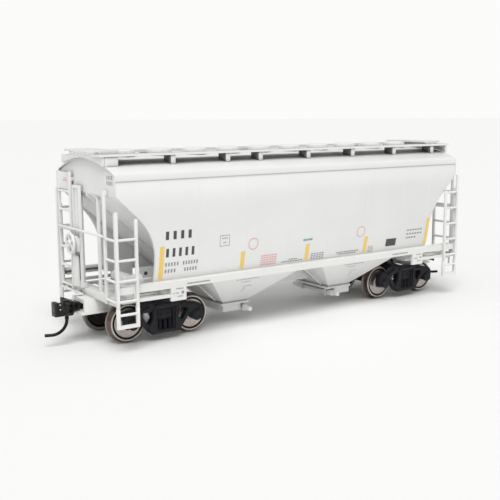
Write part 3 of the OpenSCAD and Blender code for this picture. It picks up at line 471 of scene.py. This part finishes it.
def add_side_marks():
    """Plain bars and dashes where such a car carries its data."""
    dark, grey, red, teal = (bmesh.new() for _ in range(4))
    for half in (1, -1):
        bar_row(dark, -50.9, -41.4, 28.8, 31.1, 4, 0.42, half)
        bar_row(dark, -50.5, -40.4, 23.9, 26.3, 5, 0.42, half)
        bar_row(grey, -50.2, -45.6, 21.3, 22.3, 5, 0.5, half)
        bar_row(grey, -44.6, -39.4, 21.3, 22.3, 6, 0.5, half)
        bar_row(grey, -50.2, -46.4, 19.4, 20.4, 4, 0.5, half)
        bar_row(grey, -44.0, -39.6, 19.4, 20.4, 5, 0.5, half)
        add_frame(grey, -32.6, -29.3, 25.3, 28.5, 0.14, half)
        bar_row(grey, -32.0, -29.9, 27.4, 27.8, 3, 0.55, half)
        bar_row(grey, -31.5, -30.4, 26.1, 26.6, 2, 0.5, half)
        for x, z in ((-20.8, 25.0), (21.6, 25.0)):
            add_ring(red, x, z, 1.75, 0.22, half)
        for i in range(5):
            bar_row(red, -17.6, -11.6, 20.8 - i * 0.7, 21.1 - i * 0.7, 6, 0.8, half)
        for i, (x0, x1) in enumerate(((-6.9, -3.6), (-9.6, -1.4))):
            bar_row(grey, x0, x1, 18.6 - i * 0.6, 18.9 - i * 0.6, 5 + 3 * i, 0.75, half)
        for i in range(4):
            bar_row(grey, 1.6, 7.0, 19.5 - i * 0.58, 19.75 - i * 0.58, 5, 0.75, half)
        for i, (x0, x1) in enumerate(((11.9, 21.7), (12.9, 20.7))):
            bar_row(grey, x0, x1, 18.75 - i * 0.58, 19.05 - i * 0.58, 9, 0.78, half)
        bar_row(teal, -2.1, -0.3, 24.0, 24.7, 1, 0.95, half)
        bar_row(grey, -0.2, 1.6, 24.1, 24.7, 2, 0.8, half)
        for i in range(5):
            bar_row(grey, 25.7, 28.1, 19.6 - i * 0.45, 19.72 - i * 0.45, 2, 0.9, half)
        add_patch(dark, 33.6, 38.2, 18.9, 21.4, half)
        for i, count in enumerate((6, 6, 4)):
            z = 23.4 - i * 1.3
            bar_row(grey, 42.6, 42.6 + 1.25 * count, z, z + 0.48, count, 0.66, half)
    inked = {"dark": (dark, ink_dark), "grey": (grey, ink_grey), "red": (red, ink_red), "teal": (teal, ink_teal)}
    for color, (bm, ink) in inked.items():
        name = "side_marks_" + color
        piece(name, mesh_from(name, bm), ink, "car")


def add_frame(bm, x0, x1, z0, z1, line, half):
    """Four thin films round a rectangle."""
    add_patch(bm, x0, x1, z0, z0 + line, half)
    add_patch(bm, x0, x1, z1 - line, z1, half)
    add_patch(bm, x0, x0 + line, z0 + line, z1 - line, half)
    add_patch(bm, x1 - line, x1, z0 + line, z1 - line, half)


def add_ring(bm, x, z, radius, line, half):
    """Thin plain ring on the bowed side."""
    count = 40
    loops = []
    for r in (radius, radius - line):
        loops.append([bm.verts.new(side_point(
            x + r * math.cos(math.tau * i / count), z + r * math.sin(math.tau * i / count), FILM, half))
            for i in range(count)])
    for i in range(count):
        j = (i + 1) % count
        bm.faces.new((loops[0][i], loops[0][j], loops[1][j], loops[1][i]))


def add_seams():
    """Narrow weld beads up the body sides, which start above the sill or above the stripe there."""
    bm = bmesh.new()
    high, width, proud, steps = 45.1, 0.3, 0.035, 24
    profile = ((-width / 2, -0.05), (-width / 4, proud), (width / 4, proud), (width / 2, -0.05))
    above_sill = SILL_TOP + 0.05
    lows = {51.3: 27.3, 39.5: above_sill, 23.6: 23.4, 8: above_sill}
    for half in (1, -1):
        for x in (-51.3, -39.5, -23.6, -8, 8, 23.6, 39.5, 51.3):
            low = lows[abs(x)]
            rows = []
            for i in range(steps + 1):
                z = low + (high - low) * i / steps
                rows.append([bm.verts.new(side_point(x + dx, z, p, half)) for dx, p in profile])
            for lower, upper in zip(rows, rows[1:]):
                for k in range(3):
                    bm.faces.new((lower[k], lower[k + 1], upper[k + 1], upper[k]))
    piece("side_seams", mesh_from("side_seams", bm), paint_body, "car")


# ---------- Side sills and centre sill ----------


def add_side_sill(name, node, side):
    """Channel sill with a ledge up to the bowed side, and a lower bar, a window and a pad at each end."""
    bm = bmesh.new()

    def block(x0, x1, out, back, z0, z1):
        low, high = sorted((side * out, side * back))
        add_block(bm, (x0, low, z0), (x1, high, z1))

    block(-SILL_END, SILL_END, SILL_FACE, SILL_BACK, SILL_LOW, SILL_TOP)
    block(-SILL_END, SILL_END, SILL_FACE - 0.01, side_at(SILL_TOP) + 0.02, SILL_TOP - 0.5, SILL_TOP - 0.001)
    for s in ENDS.values():
        def at_end(x0, x1, *rest):
            block(*sorted((s * x0, s * x1)), *rest)
        at_end(53.05, 64.0, SILL_FACE - 0.002, SILL_FACE - 1.8, SILL_LOW - 0.02, SILL_LOW + 0.7)
        at_end(PAD[1] - 0.01, 64.0, SILL_FACE, SILL_FACE - 0.9, *BAR)
        at_end(*PAD, SILL_FACE + 0.15, SILL_FACE - 0.75, 11.8, SILL_LOW + 0.3)
        at_end(59.2, 60.4, SILL_FACE - 0.003, SILL_FACE - 0.9, BAR[1] - 0.01, SILL_LOW + 0.1)
        button = (s * (sum(PAD) / 2 + 1.2), side * (SILL_FACE + 0.14), 13.6)
        add_prism(bm, button, 20, 0.42, 0.12, outward(side))
    made = piece(name, mesh_from(name, bm), paint_frame, "car", smooth=False)
    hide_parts(node)
    soften(made, 0.1)


def add_extrusion(bm, outline, axis, low, high):
    """Solid from an outline in x and z, drawn along y, or in y and z, drawn along x."""
    loops = []
    for depth in (low, high):
        points = [(u, depth, z) if axis == "y" else (depth, u, z) for u, z in outline]
        loops.append([bm.verts.new(Vector((x, y, z + RAIL)) * MM) for x, y, z in points])
    bm.faces.new(loops[0])
    bm.faces.new(loops[1])
    for i in range(len(outline)):
        j = (i + 1) % len(outline)
        bm.faces.new((loops[0][i], loops[0][j], loops[1][j], loops[1][i]))


def add_center_sill():
    """Centre sill with body bolsters, gussets with dark discs of painted shade for holes, cover plates, and the
    hood.
    """
    bm, hole_shade = bmesh.new(), bmesh.new()
    half, low, high, king = 3.2, 12.1, 13.9, TRUCK_CENTRE
    tip, tip_low, tip_high = 15.65, 13.1, 14.5
    hood = [(0, 8.65), (13.35, 8.65), (5.01, 15.4), (0, 15.4)]
    add_extrusion(bm, [(-u, z) for u, z in hood[:0:-1]] + hood[1:], "y", -half, half)
    for s in ENDS.values():
        beam_x = sorted((s * 34.12, s * 61.38))
        add_block(bm, (beam_x[0], -half, low), (beam_x[1], half, high))
        beam = [
            (-tip, tip_low), (-1, low), (1, low), (tip, tip_low),
            (tip, tip_high), (1, high), (-1, high), (-tip, tip_high)]
        add_extrusion(bm, beam, "x", s * king - 1.8, s * king + 1.8)
        add_prism(bm, (s * king, 0, 10.3), 40, 2.7, 1.85, TOWARDS["+z"])
        for side in (-1, 1):
            plate = sorted((s * 45.9, s * 56.8))
            across = sorted((side * 10.0, side * 14.2))
            add_block(bm, (plate[0], across[0], 12.25), (plate[1], across[1], 12.95))
            gusset = sorted((s * 47.7, s * 52.5))
            across = sorted((side * 6.7, side * 7.5))
            add_block(bm, (gusset[0], across[0], 12.9), (gusset[1], across[1], 19.9))
            # Painted shade: a dark disc stands in for the shade seen through each gusset hole.
            add_prism(hole_shade, (s * 50.8, side * 7.4, 18.1), 20, 0.6, 0.15, outward(side))
    mesh = mesh_from("center_sill_detail", bm)
    made = piece("center_sill_detail", mesh, paint_frame, "car", smooth=False)
    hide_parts("center_sill")
    soften(made, 0.08)
    piece("gusset_hole_shade", mesh_from("gusset_hole_shade", hole_shade), ink_dark, "car")


def add_reservoir():
    """Air reservoir with dished ends, in two straps on the centre sill."""
    bm = bmesh.new()
    x, z, radius = -57.2, 17.5, 1.45
    add_prism(bm, (x, -9.6, z), 32, radius, 8.6, TOWARDS["+y"])
    for y, towards in ((-9.6, "-y"), (-1.0, "+y")):
        add_prism(bm, (x, y, z), 32, radius * 0.8, 0.3, TOWARDS[towards])
    for y in (-8, -3):
        add_block(bm, (x - 1, y, 13.92), (x + 1, y + 0.7, 16.6))
        add_prism(bm, (x, y, z), 32, radius + 0.12, 0.7, TOWARDS["+y"])
    add_block(bm, (x - 1, -8, 13.92), (x + 1, -3.19, 14.7))
    made = piece("reservoir_detail", mesh_from("reservoir_detail", bm), paint_frame, "car")
    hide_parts("air_reservoir")


def add_face(bm, corners, half):
    """Face on corners in millimetres above the rail, turned half round when half is -1."""
    bm.faces.new([bm.verts.new(Vector((x * half, y * half, z + RAIL)) * MM) for x, y, z in corners])


def upright_dashes(bm, y0, y1, z0, z1, count, fill, x, half):
    """Row of thin dashes on a face across the end of the car at x."""
    for a, b in spread(y0, y1, count, fill):
        add_face(bm, [(x, y, z) for y, z in ((a, z0), (b, z0), (b, z1), (a, z1))], half)


def add_end_marks():
    """Two rows of bars on each end sheet, and a red dash on each sign plate."""
    grey, red = bmesh.new(), bmesh.new()
    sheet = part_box("body_shell")[0].x / MM - FILM
    plate = -65.82 - FILM
    for half in (1, -1):
        upright_dashes(grey, -16.8, -13.0, 45.5, 46.6, 4, 0.45, sheet, half)
        upright_dashes(grey, -16.8, -13.0, 44.1, 45.1, 5, 0.45, sheet, half)
        upright_dashes(red, 10.2, 13.2, 43.8, 44.2, 3, 0.7, plate, half)
        upright_dashes(red, 10.9, 12.6, 44.5, 44.8, 2, 0.7, plate, half)
    piece("end_marks", mesh_from("end_marks", grey), ink_grey, "car")
    piece("sign_marks", mesh_from("sign_marks", red), ink_red, "car")


def flat_dashes(bm, x0, x1, z0, z1, count, fill, y, half):
    """Row of thin dashes on an upright face across the car at y."""
    for a, b in spread(x0, x1, count, fill):
        add_face(bm, [(x, y, z) for x, z in ((a, z0), (b, z0), (b, z1), (a, z1))], half)


def bay_dashes(bm, x0, x1, z0, z1, count, fill, half):
    """Row of thin dashes on the leaning side of a bay."""
    (top_y, top_z), (low_y, low_z), proud = (18.65, 15.4), (8.3, 6.3), 0.06
    lean = (top_y - low_y) / (top_z - low_z)
    for a, b in spread(x0, x1, count, fill):
        add_face(bm, [
            (x, -(top_y - (top_z - z) * lean + proud), z) for x, z in ((a, z0), (b, z0), (b, z1), (a, z1))], half)


def add_sill_marks():
    """Small dashes on the sills, the pads and the sides of the bays."""
    bm = bmesh.new()
    face = -SILL_FACE - FILM
    pad = face - 0.15
    for half in (1, -1):
        flat_dashes(bm, -44.1, -36.6, 16.0, 16.4, 13, 0.75, face, half)
        flat_dashes(bm, 34.9, 42.2, 16.1, 16.5, 13, 0.75, face, half)
        for x in (-48.7, 45.0):
            flat_dashes(bm, x + 1.0, x + 3.4, 15.0, 15.3, 4, 0.75, pad, half)
            flat_dashes(bm, x, x + 1.9, 13.8, 14.1, 4, 0.7, pad, half)
            flat_dashes(bm, x + 1.4, x + 3.2, 12.85, 13.15, 3, 0.7, pad, half)
            flat_dashes(bm, x + 2.7, x + 3.5, 13.6, 14.4, 1, 1.0, pad, half)
        for x in (-27.0, 14.6):
            bay_dashes(bm, x, x + 8.3, 14.75, 14.95, 15, 0.75, half)
            bay_dashes(bm, x + 2.4, x + 5.8, 13.75, 13.95, 6, 0.7, half)
    piece("sill_marks", mesh_from("sill_marks", bm), ink_grey, "car")


# ---------- Running boards ----------


def add_grating(name, node):
    """Open grating: a rim, long bars and close cross bars, in the box of its CAD node."""
    low, high = (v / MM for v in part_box(node))
    low.z -= RAIL
    high.z -= RAIL
    rim, bar, slat, pitch, rows = 0.42, 0.3, 0.46, 0.92, 6
    bm = bmesh.new()
    add_block(bm, (low.x, low.y, low.z), (high.x, low.y + rim, high.z))
    add_block(bm, (low.x, high.y - rim, low.z), (high.x, high.y, high.z))
    for x in (low.x, high.x - rim):
        add_block(bm, (x, low.y + rim, low.z), (x + rim, high.y - rim, high.z))
    inner = high.y - low.y - 2 * rim
    for i in range(1, rows):
        y = low.y + rim + inner * i / rows
        add_block(bm, (low.x + rim, y - bar / 2, low.z + 0.02), (high.x - rim, y + bar / 2, high.z - 0.02))
    count = int((high.x - low.x - 2 * rim) / pitch)
    for i in range(1, count):
        x = low.x + rim + (high.x - low.x - 2 * rim) * i / count
        add_block(bm, (x - slat / 2, low.y + rim, low.z + 0.12), (x + slat / 2, high.y - rim, high.z - 0.06))
    made = piece(name, mesh_from(name, bm), paint_deck, "car", smooth=False)
    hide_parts(node)


# ---------- Small parts ----------


def add_truck_springs(end):
    """Coil springs round the spring posts of one truck."""
    data = bpy.data.curves.new("truck_springs_" + end, "CURVE")
    data.dimensions = "3D"
    data.bevel_depth = 0.13 * MM
    data.bevel_resolution = 2
    low, high, radius, turns, per_turn = 2.75, 5.45, 0.56, 5, 14
    centre = ENDS[end] * TRUCK_CENTRE
    for side in (-1, 1):
        for x in (-1.6, 0, 1.6):
            for y in (11.45, 12.35):
                spline = data.splines.new("POLY")
                count = turns * per_turn
                spline.points.add(count)
                for i in range(count + 1):
                    a = math.tau * i / per_turn
                    z = low + (high - low) * i / count + RAIL
                    around = (centre + x + radius * math.cos(a), side * y + radius * math.sin(a), z)
                    spline.points[i].co = (*(v * MM for v in around), 1)
    made = bpy.data.objects.new("truck_springs_" + end, data)
    bpy.context.scene.collection.objects.link(made)
    data.materials.append(black_truck)
    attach(made, "truck_" + end)


def add_truck_bolts(end):
    """Bolt heads on the bearing caps, the column guides and the bolster ends."""
    bm = bmesh.new()
    centre = ENDS[end] * TRUCK_CENTRE
    for side in (-1, 1):
        for axle in (-10.2, 10.2):
            for i in range(3):
                a = math.radians(90 + 120 * i)
                place = (centre + axle + 0.95 * math.cos(a), side * 13.38, 5.25 + 0.95 * math.sin(a))
                add_prism(bm, place, 6, 0.3, 0.24, outward(side))
        for x in (-3.5, 3.5):
            for z in (4.0, 7.7):
                add_prism(bm, (centre + x, side * 13.23, z), 6, 0.24, 0.2, outward(side))
        for x in (-1.2, 1.2):
            add_prism(bm, (centre + x, side * 12.58, 6.9), 8, 0.34, 0.3, outward(side))
    name = "truck_bolts_" + end
    piece(name, mesh_from(name, bm), black_truck, "truck_" + end)


def add_gate_bolts():
    """Rows of bolt heads under the flanges where the outlet gates hang."""
    bm = bmesh.new()
    z, margin, inward, count = 5.9, 0.8, 0.28, 9
    for end in ENDS:
        low, high = (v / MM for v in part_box("outlet_gate_" + end))
        for y in (low.y + inward, high.y - inward):
            for i in range(count):
                x = low.x + margin + (high.x - low.x - 2 * margin) * i / (count - 1)
                add_prism(bm, (x, y, z), 6, 0.2, 0.22, TOWARDS["+z"])
    piece("gate_bolts", mesh_from("gate_bolts", bm), paint_frame, "car")


# ---------- CAD nodes ----------

PAINTED_FRAME = (
    "center_sill", "outlet_gate", "gate_shafts", "draft_box", "end_frame", "air_reservoir", "brake_cylinder",
    "uncoupling_levers",
)


def soften(made, width):
    """Small rounded edges on one object."""
    bevel = made.modifiers.new("bevel", "BEVEL")
    bevel.width = width * MM
    bevel.segments = 2
    bevel.limit_method = "ANGLE"
    bevel.angle_limit = math.radians(40)


def finish_node(name):
    """Welded, softly bevelled edges and the right material on one CAD node."""
    made = nodes[name]
    made.data.materials.clear()
    made.data.materials.append(material_for(name))
    weld = made.modifiers.new("weld", "WELD")
    weld.merge_threshold = 0.002 * MM
    width = 0.12 if name.startswith(("roof", "body_shell", "side_sill")) else 0.07
    soften(made, width)
    made.data.polygons.foreach_set("use_smooth", [True] * len(made.data.polygons))
    made.data.set_sharp_from_angle(angle=SMOOTH_BELOW)


def material_for(name):
    """Material of one CAD node, by the start of its name."""
    if name.startswith("wheels"):
        return nickel
    if name.startswith(("truck_bolster", "sideframe", "axle")):
        return black_truck
    if name.startswith(("coupler", "knuckle_b", "knuckle_a")):
        return black_coupler
    if name.startswith("trip_pin"):
        return dark_wire
    if name.startswith(("knuckle_spring", "centring_spring")):
        return bronze
    if name.startswith(("steel_weight", "king_pins", "draft_box_screws")):
        return plated
    if name.startswith(PAINTED_FRAME):
        return paint_frame
    if name.startswith(("roof", "walk_supports")):
        return paint_roof
    return paint_body


paint_body = body_paint("body_paint", (0.79, 0.79, 0.785), dust_and_shade=0.08)
# roof_paint and deck_paint carry painted shade deep in the gaps under the running boards.
paint_roof = body_paint("roof_paint", (0.79, 0.79, 0.785), dust_and_shade=0.08, shade=1.0)
paint_deck = body_paint("deck_paint", (0.77, 0.77, 0.765), dust_and_shade=0.08, roughness=0.5, shade=0.6)
paint_frame = body_paint("frame_paint", (0.755, 0.755, 0.74), dust_and_shade=0.12, roughness=0.46)
black_truck = moulded_black("truck_black")
black_coupler = moulded_black("coupler_black", (0.010, 0.0095, 0.0095), 0.42)
nickel = turned_wheel("wheel_nickel")
dark_wire = metal("blackened_wire", (0.03, 0.028, 0.03), 0.38)
bronze = metal("spring_bronze", (0.55, 0.36, 0.2), 0.35)
plated = metal("plated_steel", (0.58, 0.58, 0.57), 0.32)
stripe_ink = print_ink("stripe_yellow", (0.83, 0.56, 0.13), 0.35)
ink_dark = print_ink("ink_dark", (0.055, 0.055, 0.055))
ink_grey = print_ink("ink_grey", (0.26, 0.26, 0.26))
ink_red = print_ink("ink_red", (0.74, 0.33, 0.33))
ink_teal = print_ink("ink_teal", (0.16, 0.45, 0.50))

add_camera()
add_light()
add_floor()
for node_name in nodes:
    finish_node(node_name)
add_seams()
add_stripes()
add_side_marks()
add_side_sill("sill_near", "side_sill_near", -1)
add_side_sill("sill_far", "side_sill_far", 1)
add_sill_marks()
add_center_sill()
add_reservoir()
add_end_marks()
add_grating("grating_near", "running_board_near")
add_grating("grating_far", "running_board_far")
for end_name in ENDS:
    add_truck_springs(end_name)
    add_truck_bolts(end_name)
add_gate_bolts()
